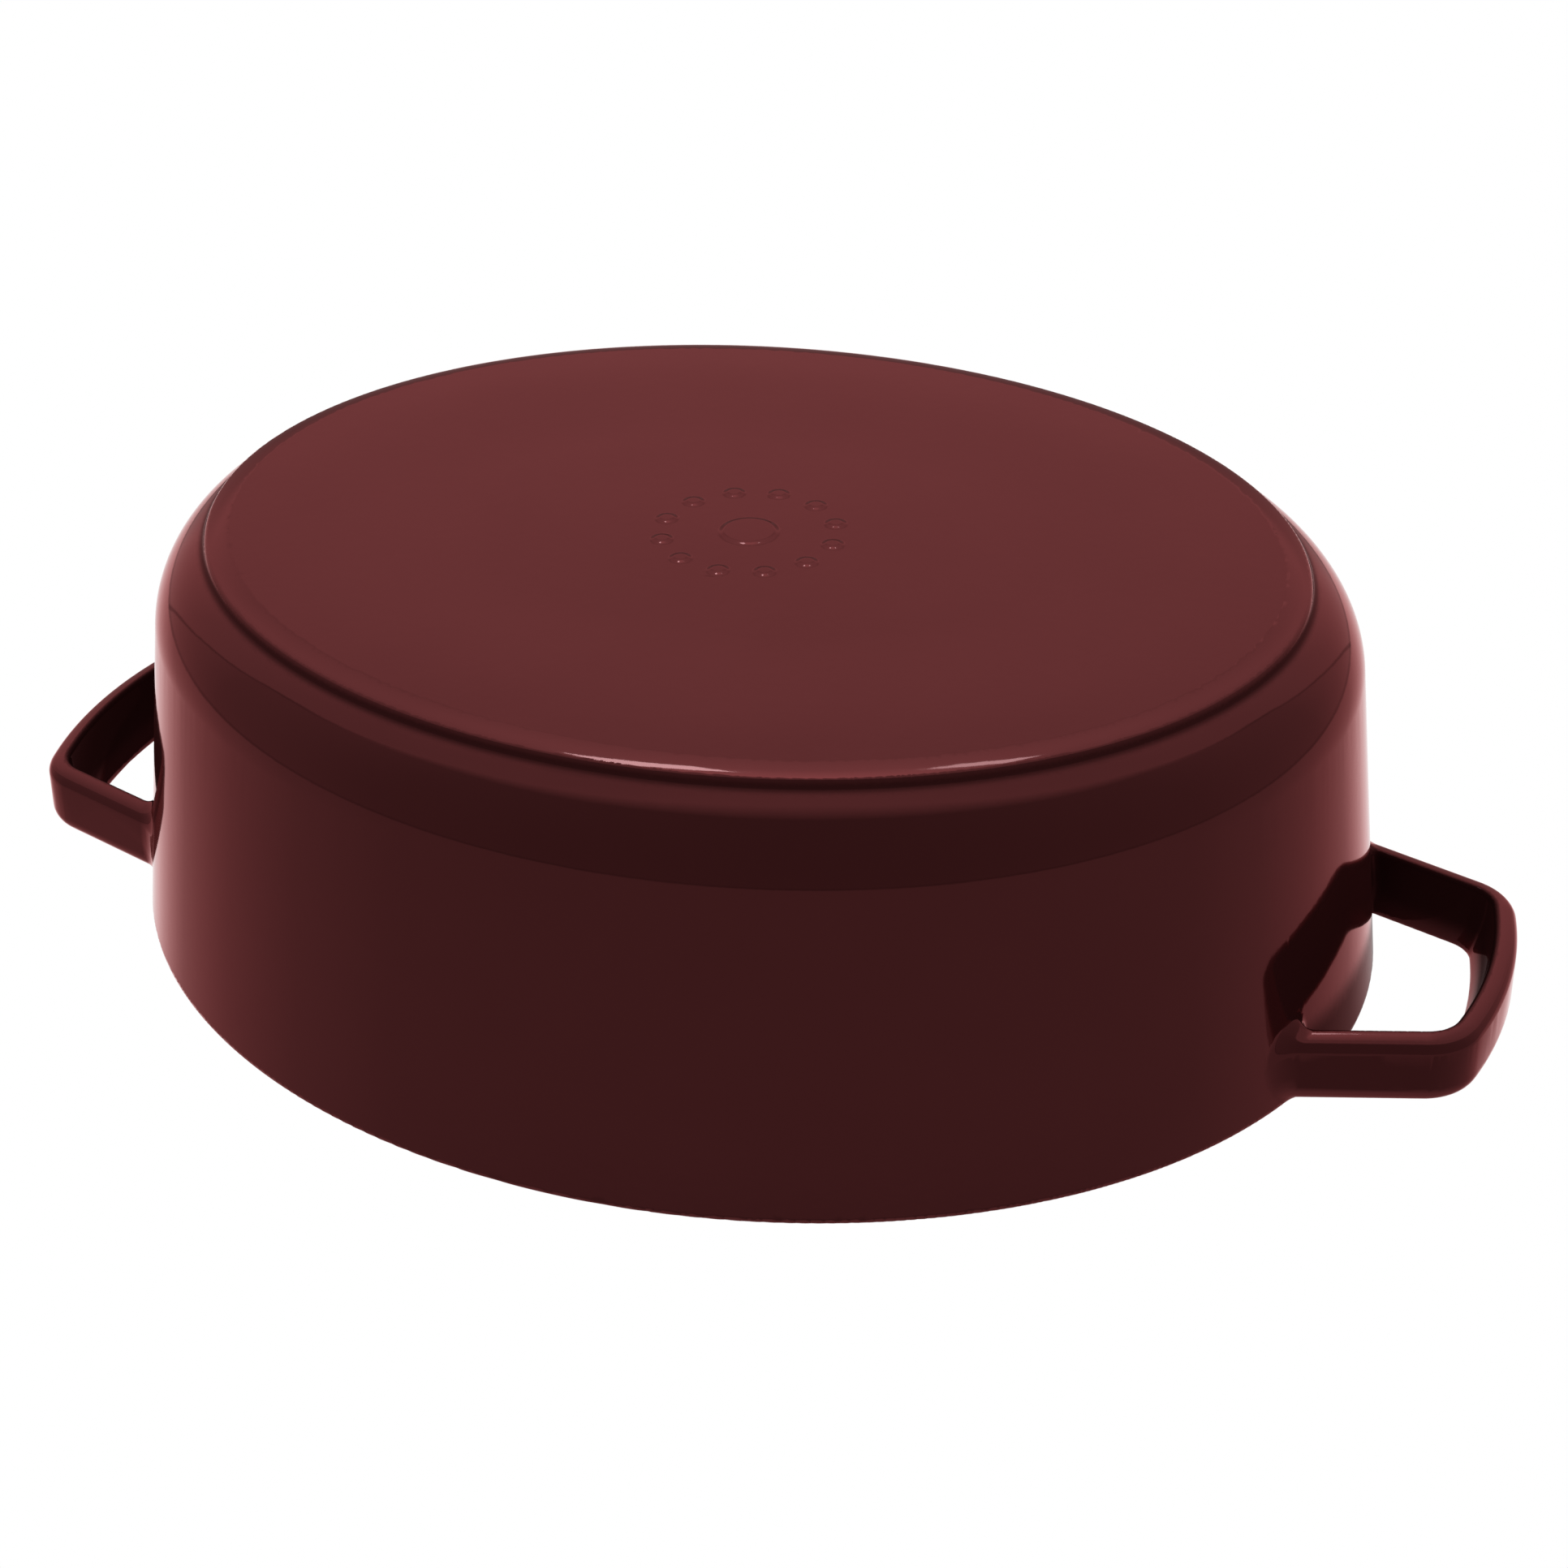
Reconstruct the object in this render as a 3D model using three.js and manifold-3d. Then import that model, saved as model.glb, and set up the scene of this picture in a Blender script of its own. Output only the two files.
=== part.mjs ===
// Oval dutch oven in enamelled cast iron: a pot with two cast loop handles, and a lid with a metal knob.
// Millimetres, +Z up. The origin is the middle of the foot's plane, and +X runs along the oval's long axis.
import * as THREE from 'three';
import { mergeVertices } from 'three/addons/utils/BufferGeometryUtils.js';
import Module from 'manifold-3d';

const wasm = await Module();
wasm.setup();

// Pot: outside
const RIM_HALF_LENGTH = 185;
const RIM_HALF_WIDTH = 156.7;
const POT_HEIGHT = 120.4;
const WALL_SLOPE = 0.105; // inset gained for each millimetre below the rim
const SHOULDER_RADIUS = 29.8;
const RIM_EDGE_RADIUS = 1.6;

// Pot: foot, a low plateau with a flat ring round a slight recess
const FOOT_INSET = 27.5; // from the rim, in plan
const FOOT_EDGE_RADIUS = 2.2;
const FOOT_LAND = 8; // width of the flat ring that the pot stands on
const FOOT_RECESS = 0.8;

// Pot: inside
const BASE_THICKNESS = 4.8;
const FLOOR_RADIUS = 24.5;
const INNER_SLOPE = 0.082;
const LIP_WIDTH = 3.2; // the rim that stands round the lid
const LEDGE_WIDTH = 4.2; // the step that the lid rests on
const LEDGE_DEPTH = 5.2;

// Casting mark under the pot: a ring of pips round a plain raised disc
const MARK_PIPS = 12;
const MARK_RADIUS = 25;
const PIP_RADIUS = 1.8;
const MARK_DISC_RADIUS = 8;
const MARK_RELIEF = 0.5;

// Loop handles, cast in one with the pot
const HANDLE_REACH = 39.4; // from the rim's end to the outside of the bar
const HANDLE_ROOT_DEPTH = 20; // how far inside the rim's end the arms start
const HANDLE_ROOT_SPREAD = 39.3; // half the distance between the arms' round cores, at the root
const HANDLE_CORNER_SPREAD = 26.7; // the same at the outer corners
const HANDLE_CORNER_RADIUS = 17.8;
const HANDLE_BOW = 3; // how far the bar bows outwards
const HANDLE_HEIGHT = 21.2;
const HANDLE_DROP = 1; // from the rim's plane to the handle's upper face
const HANDLE_WALL = 6.8; // thickness of the loop at its lower face
const HANDLE_DRAFT = 2.2; // what the loop gains towards its upper face
const HANDLE_BAR_LIP = 3.6; // what the bar gains there beyond that
const HANDLE_EDGE_RADIUS = 4.8;
const HANDLE_INNER_EDGE = 1.9;

// Lid
const LID_SIDE_GAP = 0.8;
const LID_SEAT_GAP = 0.2;
const LID_EDGE_HEIGHT = 5.4;
const LID_EDGE_RADIUS = 1.8;
const LID_BAND = 10; // flat edge band, from the lid's edge to the rise
const LID_SLOPE = 26; // width of the rise
const LID_RISE = 12;
const LID_CROWN = 4;
const LID_THICKNESS = 4;
const BOSS_RADIUS = 21;
const BOSS_HEIGHT = 1.5;
const BOSS_CHAMFER = 1;
const PAD_RADIUS = 9.5; // the flat pad round the hole, under the lid
const PAD_HEIGHT = 1;

// Basting bumps under the lid, in oval rows: share of the lid's half axes, and how many
const BUMP_ROWS = [[0.3, 6], [0.52, 10], [0.74, 16]];
const BUMP_BASE_RADIUS = 3.4;
const BUMP_TIP_RADIUS = 1.4;
const BUMP_HEIGHT = 4.5;

// Knob, screw and washer
const KNOB_BASE_RADIUS = 14;
const KNOB_BASE_HEIGHT = 2.5;
const KNOB_NECK_RADIUS = 9.5;
const KNOB_HEAD_RADIUS = 21;
const KNOB_HEAD_HEIGHT = 12;
const KNOB_HEIGHT = 31;
const KNOB_CROWN = 3.5;
const SCREW_RADIUS = 3;
const SCREW_HEAD_RADIUS = 5.8;
const SCREW_HEAD_HEIGHT = 3.6;
const SCREW_GRIP = 14; // length of the screw inside the knob
const SCREW_SLOT_WIDTH = 1.4;
const SCREW_SLOT_DEPTH = 1.6;
const WASHER_RADIUS = 8;
const WASHER_THICKNESS = 1.4;
const BORE_GAP = 0.4; // round the screw
const BORE_END_GAP = 2; // past the screw's end
const STACK_GAP = 0.1; // between faces that are clamped together

// Fineness
const OVAL_STEPS = 64;
const ARC_STEPS = 4;
const SHOULDER_STEPS = 6;
const ROUND_STEPS = 24;
const SINK = 1.5; // how far a joined piece reaches into what carries it
const CUT = 2; // how far a cutting solid reaches past what it cuts

// Sizes that follow from those above
const LEDGE_Z = POT_HEIGHT - LEDGE_DEPTH;
const FLOOR_Z = FOOT_RECESS + BASE_THICKNESS;
const HANDLE_TOP = POT_HEIGHT - HANDLE_DROP;
const HANDLE_BOTTOM = HANDLE_TOP - HANDLE_HEIGHT;
const LID_INSET = LIP_WIDTH + LID_SIDE_GAP;
const LID_BOTTOM = LEDGE_Z + LID_SEAT_GAP;
const LID_BAND_TOP = LID_BOTTOM + LID_EDGE_HEIGHT;
const LID_HALF_WIDTH = RIM_HALF_WIDTH - LID_INSET;
const LID_HALF_LENGTH = RIM_HALF_LENGTH - LID_INSET;
const LID_CENTRE_TOP = LID_BAND_TOP + LID_RISE + LID_CROWN;
const LID_CENTRE_UNDER = LID_CENTRE_TOP - LID_THICKNESS;
const BOSS_TOP = LID_CENTRE_TOP + BOSS_HEIGHT;
const PAD_BOTTOM = LID_CENTRE_UNDER - PAD_HEIGHT;
const KNOB_Z = BOSS_TOP + STACK_GAP;
const WASHER_TOP = PAD_BOTTOM - STACK_GAP;
const SCREW_SEAT = WASHER_TOP - WASHER_THICKNESS - STACK_GAP;
const BORE_RADIUS = SCREW_RADIUS + BORE_GAP;

// Materials
const enamel = new THREE.MeshStandardMaterial({ color: 0x4d171a, roughness: 0.12, metalness: 0 });
const nickel = new THREE.MeshStandardMaterial({ color: 0xc9c4ba, roughness: 0.22, metalness: 1 });
const steel = new THREE.MeshStandardMaterial({ color: 0xa8a8a8, roughness: 0.35, metalness: 1 });

// Solids: a closed geometry becomes a solid that can be joined and cut, and goes back
function solid(geometry) {
  const bare = geometry.clone();
  bare.deleteAttribute('normal');
  bare.deleteAttribute('uv');
  const merged = mergeVertices(bare, 1e-4);
  const vertProperties = new Float32Array(merged.attributes.position.array);
  const triVerts = new Uint32Array(merged.index.array);
  return new wasm.Manifold(new wasm.Mesh({ numProp: 3, vertProperties, triVerts }));
}

function geometryOf(body) {
  const { vertProperties, triVerts } = body.getMesh();
  const geometry = new THREE.BufferGeometry();
  geometry.setAttribute('position', new THREE.BufferAttribute(vertProperties, 3));
  geometry.setIndex(new THREE.BufferAttribute(triVerts, 1));
  geometry.computeVertexNormals();
  return geometry;
}

function part(name, geometry, material) {
  const mesh = new THREE.Mesh(geometry, material);
  mesh.name = name;
  return mesh;
}

// A skin over convex rings, given from the middle of the underside, round the outside, to the middle on top
function loft(rings) {
  const count = rings[0].length;
  const points = rings.flat();
  const index = [];
  for (let i = 0; i + 1 < rings.length; i++) {
    for (let j = 0; j < count; j++) {
      const a = i * count + j;
      const b = i * count + (j + 1) % count;
      index.push(a, b, b + count, a, b + count, a + count);
    }
  }
  const closeEnd = (first, facesUp) => {
    const ring = points.slice(first, first + count);
    const middle = ring.reduce((sum, p) => sum.add(p), new THREE.Vector3()).divideScalar(count);
    points.push(middle);
    for (let j = 0; j < count; j++) {
      const a = first + j;
      const b = first + (j + 1) % count;
      index.push(points.length - 1, facesUp ? a : b, facesUp ? b : a);
    }
  };
  const last = (rings.length - 1) * count;
  closeEnd(0, false);
  closeEnd(last, true);
  const geometry = new THREE.BufferGeometry().setFromPoints(points);
  geometry.setIndex(index);
  return geometry;
}

// The rim's oval, drawn in by an inset
function ovalRing(inset, z) {
  const oval = new THREE.EllipseCurve(0, 0, RIM_HALF_LENGTH - inset, RIM_HALF_WIDTH - inset);
  return oval.getPoints(OVAL_STEPS).slice(0, -1).map((p) => new THREE.Vector3(p.x, p.y, z));
}

function ovalSolid(profile) {
  return loft(profile.map(([inset, z]) => ovalRing(inset, z)));
}

// Points of an arc in a profile, round a middle; angle 0 faces outwards and a quarter turn faces down
function profileArc(inset, z, radius, from, to, steps) {
  const points = [];
  for (let k = 0; k <= steps; k++) {
    const angle = THREE.MathUtils.lerp(from, to, k / steps);
    points.push([inset - radius * Math.cos(angle), z - radius * Math.sin(angle)]);
  }
  return points;
}

const QUARTER = Math.PI / 2;

function wallInset(z) {
  return WALL_SLOPE * (POT_HEIGHT - z);
}

function innerInset(z) {
  return LIP_WIDTH + LEDGE_WIDTH + INNER_SLOPE * (LEDGE_Z - z);
}

// Pot, outside: recess, foot, shoulder, wall and rounded rim
function potOutside() {
  const tilt = Math.atan(WALL_SLOPE);
  const shoulderInset = wallInset(SHOULDER_RADIUS) + SHOULDER_RADIUS / Math.cos(tilt);
  const footAngle = Math.acos((shoulderInset - FOOT_INSET) / SHOULDER_RADIUS);
  const footTop = SHOULDER_RADIUS * (1 - Math.sin(footAngle));
  const edge = Math.min(FOOT_EDGE_RADIUS, footTop * 0.8);
  const land = FOOT_INSET + edge + FOOT_LAND;
  return ovalSolid([
    [land + FOOT_RECESS, FOOT_RECESS],
    [land, 0],
    ...profileArc(FOOT_INSET + edge, edge, edge, QUARTER, 0, ARC_STEPS),
    ...profileArc(shoulderInset, SHOULDER_RADIUS, SHOULDER_RADIUS, footAngle, tilt, SHOULDER_STEPS),
    ...profileArc(RIM_EDGE_RADIUS, POT_HEIGHT - RIM_EDGE_RADIUS, RIM_EDGE_RADIUS, 0, -QUARTER, ARC_STEPS),
  ]);
}

// Pot, inside: floor, wall, the lid's ledge and the way out
function potInside() {
  const tilt = Math.atan(INNER_SLOPE);
  const arcZ = FLOOR_Z + FLOOR_RADIUS;
  const arcInset = innerInset(arcZ) + FLOOR_RADIUS / Math.cos(tilt);
  return ovalSolid([
    ...profileArc(arcInset, arcZ, FLOOR_RADIUS, QUARTER, tilt, SHOULDER_STEPS),
    [LIP_WIDTH + LEDGE_WIDTH, LEDGE_Z],
    [LIP_WIDTH, LEDGE_Z],
    [LIP_WIDTH, POT_HEIGHT + CUT],
  ]);
}

// One level of a handle: arms that draw in, round corners and a bowed bar, offset inwards
function handleRing(z, offset, pullBack) {
  const rootX = RIM_HALF_LENGTH - HANDLE_ROOT_DEPTH;
  const outerX = RIM_HALF_LENGTH + HANDLE_REACH - HANDLE_BOW - HANDLE_CORNER_RADIUS;
  const armTurn = Math.atan2(HANDLE_ROOT_SPREAD - HANDLE_CORNER_SPREAD, outerX - rootX);
  const cornerX = outerX - pullBack;
  const cornerY = HANDLE_CORNER_SPREAD + pullBack * Math.tan(armTurn);
  const radius = HANDLE_CORNER_RADIUS - offset;
  const bowRadius = (cornerY ** 2 + HANDLE_BOW ** 2) / (2 * HANDLE_BOW);
  const bowTurn = Math.asin(cornerY / bowRadius);
  const bowX = cornerX - bowRadius * Math.cos(bowTurn);
  const armFacing = QUARTER - armTurn;
  const rootY = HANDLE_ROOT_SPREAD + radius / Math.cos(armTurn);
  const corner = (y, from, to) => new THREE.EllipseCurve(cornerX, y, radius, radius, from, to);
  const bar = new THREE.EllipseCurve(bowX, 0, bowRadius + radius, bowRadius + radius, -bowTurn, bowTurn);
  const outline = [
    new THREE.Vector2(rootX, -rootY),
    ...corner(-cornerY, -armFacing, -bowTurn).getPoints(ARC_STEPS),
    ...bar.getPoints(ARC_STEPS).slice(1, -1),
    ...corner(cornerY, bowTurn, armFacing).getPoints(ARC_STEPS),
    new THREE.Vector2(rootX, rootY),
  ];
  return outline.map((p) => new THREE.Vector3(p.x, p.y, z));
}

// Levels of an edge rounded by a radius, as how far in and how far along
function roundedEdge(radius) {
  return Array.from({ length: ARC_STEPS }, (_, k) => {
    const angle = (QUARTER * k) / (ARC_STEPS - 1);
    return { along: radius * (1 - Math.cos(angle)), inwards: radius * (1 - Math.sin(angle)) };
  });
}

function handleOutside() {
  const edge = roundedEdge(HANDLE_EDGE_RADIUS);
  return loft([
    ...edge.map((e) => handleRing(HANDLE_BOTTOM + e.along, e.inwards, 0)),
    ...edge.toReversed().map((e) => handleRing(HANDLE_TOP - e.along, e.inwards, 0)),
  ]);
}

// The finger gap, rounded where it leaves each face and drawn in towards the top
function handleGap() {
  const edge = roundedEdge(HANDLE_INNER_EDGE);
  const level = (z, flare) => {
    const rise = THREE.MathUtils.clamp((z - HANDLE_BOTTOM) / HANDLE_HEIGHT, 0, 1);
    return handleRing(z, HANDLE_WALL + HANDLE_DRAFT * rise - flare, HANDLE_BAR_LIP * rise);
  };
  return loft([
    level(HANDLE_BOTTOM - CUT, HANDLE_INNER_EDGE),
    ...edge.map((e) => level(HANDLE_BOTTOM + e.along, e.inwards)),
    ...edge.toReversed().map((e) => level(HANDLE_TOP - e.along, e.inwards)),
    level(HANDLE_TOP + CUT, HANDLE_INNER_EDGE),
  ]);
}

// A round bar that stands on the XY plane
function roundBar(radius, height, tipRadius = radius, steps = ROUND_STEPS) {
  const bar = new THREE.CylinderGeometry(tipRadius, radius, height, steps);
  return bar.rotateX(QUARTER).translate(0, 0, height / 2);
}

function castingMark() {
  const depth = MARK_RELIEF + SINK;
  const bottom = FOOT_RECESS - MARK_RELIEF;
  const marks = [solid(roundBar(MARK_DISC_RADIUS, depth).translate(0, 0, bottom))];
  for (let k = 0; k < MARK_PIPS; k++) {
    const turn = (2 * Math.PI * k) / MARK_PIPS;
    const pip = roundBar(PIP_RADIUS, depth, PIP_RADIUS, 10);
    pip.translate(MARK_RADIUS * Math.cos(turn), MARK_RADIUS * Math.sin(turn), bottom);
    marks.push(solid(pip));
  }
  return marks;
}

function pot() {
  const handle = solid(handleOutside()).subtract(solid(handleGap()));
  const outside = solid(potOutside())
    .add(handle)
    .add(handle.rotate([0, 0, 180]));
  const marked = castingMark().reduce((body, mark) => body.add(mark), outside);
  const casting = marked.subtract(solid(potInside()));
  return part('pot', geometryOf(casting), enamel);
}

// Lid: how far its panel has risen at a distance in from the lid's edge
function lidPanel(distance, rise) {
  const slope = THREE.MathUtils.smoothstep(distance, LID_BAND, LID_BAND + LID_SLOPE);
  const width = LID_HALF_WIDTH - LID_BAND - LID_SLOPE;
  const left = THREE.MathUtils.clamp((LID_HALF_WIDTH - distance) / width, 0, 1);
  return rise * slope + LID_CROWN * (1 - left ** 2);
}

function lidPlate() {
  const underRise = LID_RISE + LID_EDGE_HEIGHT - LID_THICKNESS;
  const innermost = LID_HALF_WIDTH - BOSS_RADIUS;
  const distances = [LID_BAND];
  for (let k = 1; k <= SHOULDER_STEPS; k++) distances.push(LID_BAND + (LID_SLOPE * k) / SHOULDER_STEPS);
  for (let k = 1; k <= ARC_STEPS; k++) {
    distances.push(THREE.MathUtils.lerp(LID_BAND + LID_SLOPE, innermost, k / ARC_STEPS));
  }
  const under = distances.map((d) => [LID_INSET + d, LID_BOTTOM + lidPanel(d, underRise)]);
  const top = distances.map((d) => [LID_INSET + d, LID_BAND_TOP + lidPanel(d, LID_RISE)]);
  const edgeZ = LID_BAND_TOP - LID_EDGE_RADIUS;
  return ovalSolid([
    ...under.toReversed(),
    [LID_INSET, LID_BOTTOM],
    ...profileArc(LID_INSET + LID_EDGE_RADIUS, edgeZ, LID_EDGE_RADIUS, 0, -QUARTER, ARC_STEPS),
    ...top,
  ]);
}

// Bumps follow the panel's underside: each row is an oval of its own
function bastingBumps() {
  const underRise = LID_RISE + LID_EDGE_HEIGHT - LID_THICKNESS;
  const bumps = [];
  for (const [share, count] of BUMP_ROWS) {
    const distance = LID_HALF_WIDTH * (1 - share);
    const row = new THREE.EllipseCurve(0, 0, LID_HALF_LENGTH - distance, LID_HALF_WIDTH - distance);
    const base = LID_BOTTOM + lidPanel(distance, underRise);
    for (let k = 0; k < count; k++) {
      const place = row.getPointAt((k + 0.5) / count);
      const bump = roundBar(BUMP_TIP_RADIUS, BUMP_HEIGHT + SINK, BUMP_BASE_RADIUS, 10);
      bumps.push(solid(bump.translate(place.x, place.y, base - BUMP_HEIGHT)));
    }
  }
  return bumps;
}

function lid() {
  const boss = roundBar(BOSS_RADIUS, BOSS_HEIGHT + SINK, BOSS_RADIUS - BOSS_CHAMFER);
  const pad = roundBar(PAD_RADIUS, PAD_HEIGHT + SINK);
  const hole = roundBar(BORE_RADIUS, BOSS_TOP - PAD_BOTTOM + 2 * CUT);
  const plate = solid(lidPlate())
    .add(solid(boss.translate(0, 0, LID_CENTRE_TOP - SINK)))
    .add(solid(pad.translate(0, 0, PAD_BOTTOM)))
    .subtract(solid(hole.translate(0, 0, PAD_BOTTOM - CUT)));
  const casting = bastingBumps().reduce((body, bump) => body.add(bump), plate);
  return part('lid', geometryOf(casting), enamel);
}

function lathe(points) {
  const profile = points.map(([x, y]) => new THREE.Vector2(x, y));
  return new THREE.LatheGeometry(profile, ROUND_STEPS).rotateX(QUARTER);
}

// Knob: base, drawn-in neck, and a head whose rim is a half round under a low crown
function knob() {
  const neckTop = KNOB_HEIGHT - KNOB_CROWN - KNOB_HEAD_HEIGHT;
  const rimRadius = KNOB_HEAD_HEIGHT / 2;
  const neck = new THREE.CubicBezierCurve(
    new THREE.Vector2(KNOB_BASE_RADIUS, KNOB_BASE_HEIGHT),
    new THREE.Vector2(KNOB_NECK_RADIUS, KNOB_BASE_HEIGHT),
    new THREE.Vector2(KNOB_NECK_RADIUS, neckTop),
    new THREE.Vector2(KNOB_HEAD_RADIUS - rimRadius, neckTop),
  );
  const rim = new THREE.EllipseCurve(
    KNOB_HEAD_RADIUS - rimRadius, neckTop + rimRadius, rimRadius, rimRadius, -QUARTER, QUARTER);
  const crown = new THREE.QuadraticBezierCurve(
    new THREE.Vector2(KNOB_HEAD_RADIUS - rimRadius, neckTop + KNOB_HEAD_HEIGHT),
    new THREE.Vector2((KNOB_HEAD_RADIUS - rimRadius) / 2, KNOB_HEIGHT),
    new THREE.Vector2(0, KNOB_HEIGHT),
  );
  const outside = [
    ...neck.getPoints(2 * ARC_STEPS),
    ...rim.getPoints(2 * ARC_STEPS).slice(1),
    ...crown.getPoints(ARC_STEPS).slice(1),
  ].map((p) => [p.x, p.y]);
  const bore = SCREW_GRIP + BORE_END_GAP;
  const geometry = lathe([[0, bore], [BORE_RADIUS, bore], [BORE_RADIUS, 0], [KNOB_BASE_RADIUS, 0], ...outside]);
  const mesh = part('knob', geometry, nickel);
  mesh.position.z = KNOB_Z;
  return mesh;
}

function knobScrew() {
  const end = KNOB_Z + SCREW_GRIP - SCREW_SEAT;
  const edge = SCREW_HEAD_HEIGHT / 2;
  const body = lathe([
    [0, -SCREW_HEAD_HEIGHT], [SCREW_HEAD_RADIUS - edge, -SCREW_HEAD_HEIGHT], [SCREW_HEAD_RADIUS, -edge],
    [SCREW_HEAD_RADIUS, 0], [SCREW_RADIUS, 0], [SCREW_RADIUS, end], [0, end],
  ]);
  const slot = new THREE.BoxGeometry(2 * SCREW_HEAD_RADIUS + CUT, SCREW_SLOT_WIDTH, SCREW_SLOT_DEPTH + CUT);
  slot.translate(0, 0, SCREW_SLOT_DEPTH - SCREW_HEAD_HEIGHT - (SCREW_SLOT_DEPTH + CUT) / 2);
  const mesh = part('knob_screw', geometryOf(solid(body).subtract(solid(slot))), steel);
  mesh.position.z = SCREW_SEAT;
  return mesh;
}

function knobWasher() {
  const section = [
    [BORE_RADIUS, 0], [WASHER_RADIUS, 0], [WASHER_RADIUS, WASHER_THICKNESS],
    [BORE_RADIUS, WASHER_THICKNESS], [BORE_RADIUS, 0],
  ];
  const mesh = part('knob_washer', lathe(section), steel);
  mesh.position.z = WASHER_TOP - WASHER_THICKNESS;
  return mesh;
}

const lidAssembly = new THREE.Group();
lidAssembly.add(lid(), knob(), knobScrew(), knobWasher());

const dutchOven = new THREE.Group();
dutchOven.add(pot(), lidAssembly);

export default dutchOven;
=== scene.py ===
# Oval dutch oven in dark red enamel, upright in its own frame and seen from below, as in the photograph.
# Metres. Sizes repeat those of the CAD model, apart from the foot's edge and recess and the pips, which are
# softer.
import math

import bmesh
import bpy
import numpy as np
from mathutils import Matrix, Vector


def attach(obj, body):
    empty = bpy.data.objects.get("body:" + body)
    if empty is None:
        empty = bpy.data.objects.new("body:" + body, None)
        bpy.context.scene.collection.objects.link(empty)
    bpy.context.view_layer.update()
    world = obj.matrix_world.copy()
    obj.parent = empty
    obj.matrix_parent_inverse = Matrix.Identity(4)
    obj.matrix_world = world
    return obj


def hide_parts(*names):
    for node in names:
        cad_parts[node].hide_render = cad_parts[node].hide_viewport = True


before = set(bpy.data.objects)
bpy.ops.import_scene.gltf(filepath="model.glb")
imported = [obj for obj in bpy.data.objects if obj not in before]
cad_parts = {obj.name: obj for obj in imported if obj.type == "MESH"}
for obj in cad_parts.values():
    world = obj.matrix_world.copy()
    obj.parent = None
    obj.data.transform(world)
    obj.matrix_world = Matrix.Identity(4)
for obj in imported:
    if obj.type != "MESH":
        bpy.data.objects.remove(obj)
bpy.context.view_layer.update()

# Pot
RIM_HALF_LENGTH = 0.185
RIM_HALF_WIDTH = 0.1567
POT_HEIGHT = 0.1204
WALL_TILT = math.atan(0.105)
SHOULDER_RADIUS = 0.0298
RIM_EDGE = 0.0016
FOOT_INSET = 0.0260
FOOT_BROW = 0.0090  # how far in from its edge the foot starts to fall away
FOOT_BROW_RADIUS = 0.024
FOOT_EDGE = 0.0009
FOOT_FILLET = 0.0012
FOOT_LAND = 0.015  # from the foot's edge to its recess
FOOT_RECESS = 0.00055
FOOT_DISH = 0.06  # how far in the recess goes on deepening
FLOOR_Z = 0.0056
FLOOR_RADIUS = 0.0245
INNER_TILT = math.atan(0.082)
LIP_WIDTH = 0.0032
LEDGE_WIDTH = 0.0042
LEDGE_Z = 0.1152
LEDGE_EDGE = 0.0008

# Casting mark
MARK_PIPS = 12
MARK_RADIUS = 0.025
PIP_RADIUS = 0.0026
MARK_DISC_RADIUS = 0.008
MARK_RELIEF = 0.0005
MARK_SOFT = 0.0010

# Loop handles
LOOP_REACH = 0.0394
ROOT_DEPTH = 0.020
ROOT_SPREAD = 0.0393
CORNER_SPREAD = 0.0267
CORNER_RADIUS = 0.0178
BOW = 0.003
LOOP_HEIGHT = 0.0212
LOOP_TOP = 0.1194
LOOP_WALL = 0.0068
LOOP_DRAFT = 0.0022
BAR_LIP = 0.0036
LOOP_BROW = 0.0080  # how far in from its outer edge the underside starts to fall away
LOOP_BROW_RADIUS = 0.0145
LOOP_UNDER_EDGE = 0.0022
LOOP_TOP_EDGE = 0.0055
LOOP_INNER_EDGE = 0.0019
ROOT_FILLET = 0.0045
ROOT_TOP_FILLET = 0.0016  # what is left of it at the rim
ROOT_FADE = 0.010

# Lid
LID_INSET = 0.004
LID_BOTTOM = 0.1154
LID_EDGE_HEIGHT = 0.0054
LID_EDGE = 0.0018
LID_BAND = 0.010
LID_SLOPE = 0.026
LID_RISE = 0.012
LID_CROWN = 0.004
LID_THICKNESS = 0.004
BOSS_RADIUS = 0.021
BOSS_HEIGHT = 0.0015
PAD_RADIUS = 0.0095
PAD_HEIGHT = 0.001
BUMP_ROWS = ((0.3, 6), (0.52, 10), (0.74, 16))
BUMP_BASE_RADIUS = 0.0034
BUMP_TIP_RADIUS = 0.0014
BUMP_HEIGHT = 0.0045
BUMP_LEAN = 0.91  # cosine of the lean of a bump's side
BUMP_OVERRUN = 1.2  # how far past its height a bump's side goes on, as a share
ROW_STEPS = 1000

# Knob, screw and washer
KNOB_BASE_RADIUS = 0.014
KNOB_BASE_HEIGHT = 0.0025
KNOB_NECK_RADIUS = 0.0095
KNOB_HEAD_RADIUS = 0.021
KNOB_HEAD_HEIGHT = 0.012
KNOB_HEIGHT = 0.031
KNOB_CROWN = 0.0035
KNOB_EDGE = 0.0005
SCREW_RADIUS = 0.003
SCREW_HEAD_RADIUS = 0.0058
SCREW_HEAD_HEIGHT = 0.0036
SCREW_GRIP = 0.014
SLOT_WIDTH = 0.0014
SLOT_DEPTH = 0.0016
SLOT_LENGTH = 4 * SCREW_HEAD_RADIUS  # well past the head
WASHER_RADIUS = 0.008
WASHER_THICKNESS = 0.0014
WASHER_EDGE = 0.0003
BORE_RADIUS = 0.0034
BORE_END_GAP = 0.002
STACK_GAP = 0.0001

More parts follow.
